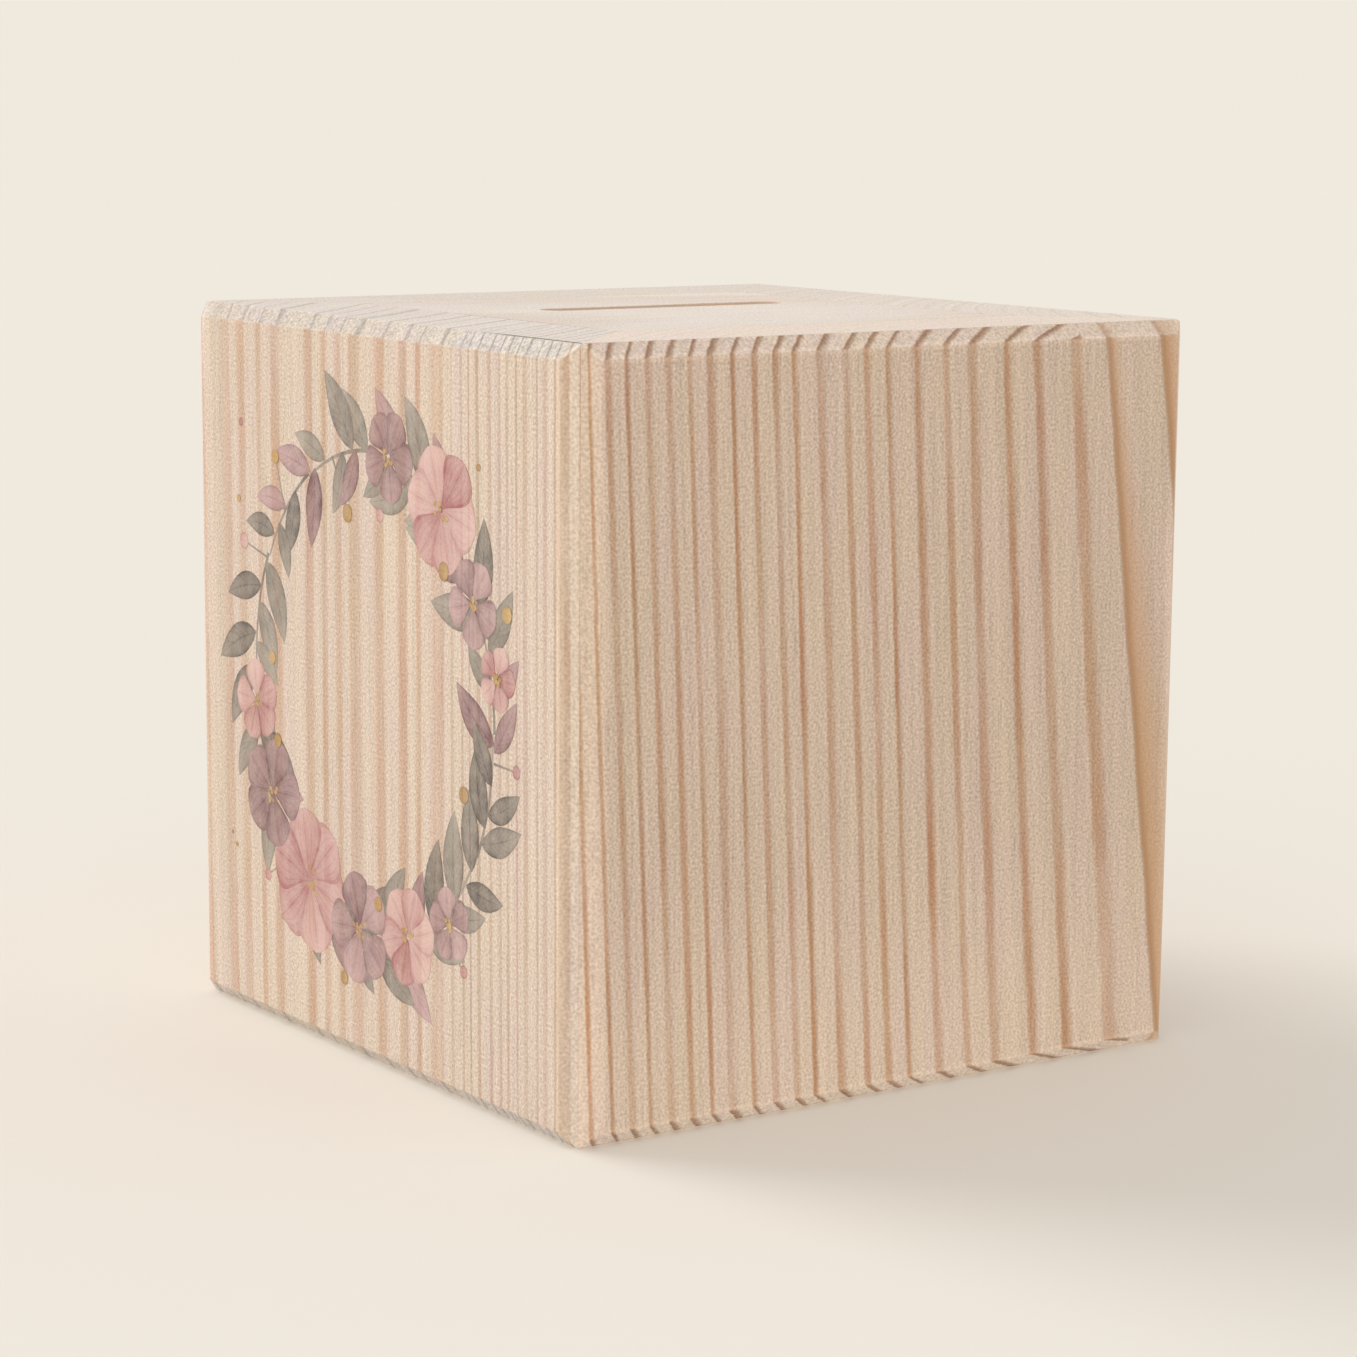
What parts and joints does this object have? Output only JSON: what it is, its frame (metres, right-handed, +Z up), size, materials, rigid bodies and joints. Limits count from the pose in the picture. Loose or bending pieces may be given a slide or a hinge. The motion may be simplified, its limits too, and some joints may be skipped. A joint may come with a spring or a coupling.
{
  "type": "wooden money box",
  "caption": "Cube money box of mitred pine boards with chamfered edges, a coin slot in the top panel and a pull-out stopper in the underside.",
  "frame": {"origin": "middle of the underside, on the surface that the box stands on", "axes": "+Z up, -Y out of the printed front wall, +X out of the plain wall at its right"},
  "size_m": [0.1, 0.1, 0.1],
  "materials": {
    "pine_front_wide": "sanded, unvarnished",
    "pine_front_narrow": "sanded, unvarnished",
    "pine_right": "sanded, unvarnished",
    "pine_back": "sanded, unvarnished",
    "pine_left": "sanded, unvarnished",
    "pine_top": "sanded, unvarnished",
    "pine_bottom": "sanded, unvarnished",
    "beech_spline": "raw",
    "stopper_rubber": "matt moulded"
  },
  "bodies": {
    "box": {"front_wall_wide_stave": "pine_front_wide", "front_wall_narrow_stave": "pine_front_narrow", "right_wall": "pine_right", "back_wall": "pine_back", "left_wall": "pine_left", "top_panel": "pine_top", "bottom_panel": "pine_bottom", "spline_front_left": "beech_spline", "spline_front_right": "beech_spline", "spline_back_right": "beech_spline", "spline_back_left": "beech_spline"},
    "stopper": {"stopper": "stopper_rubber"}
  },
  "joints": [
    {"name": "stopper_pull", "type": "slide", "parent": "box", "child": "stopper", "axis": [0, 0, -1], "range_m": [0, 0.025]}
  ]
}
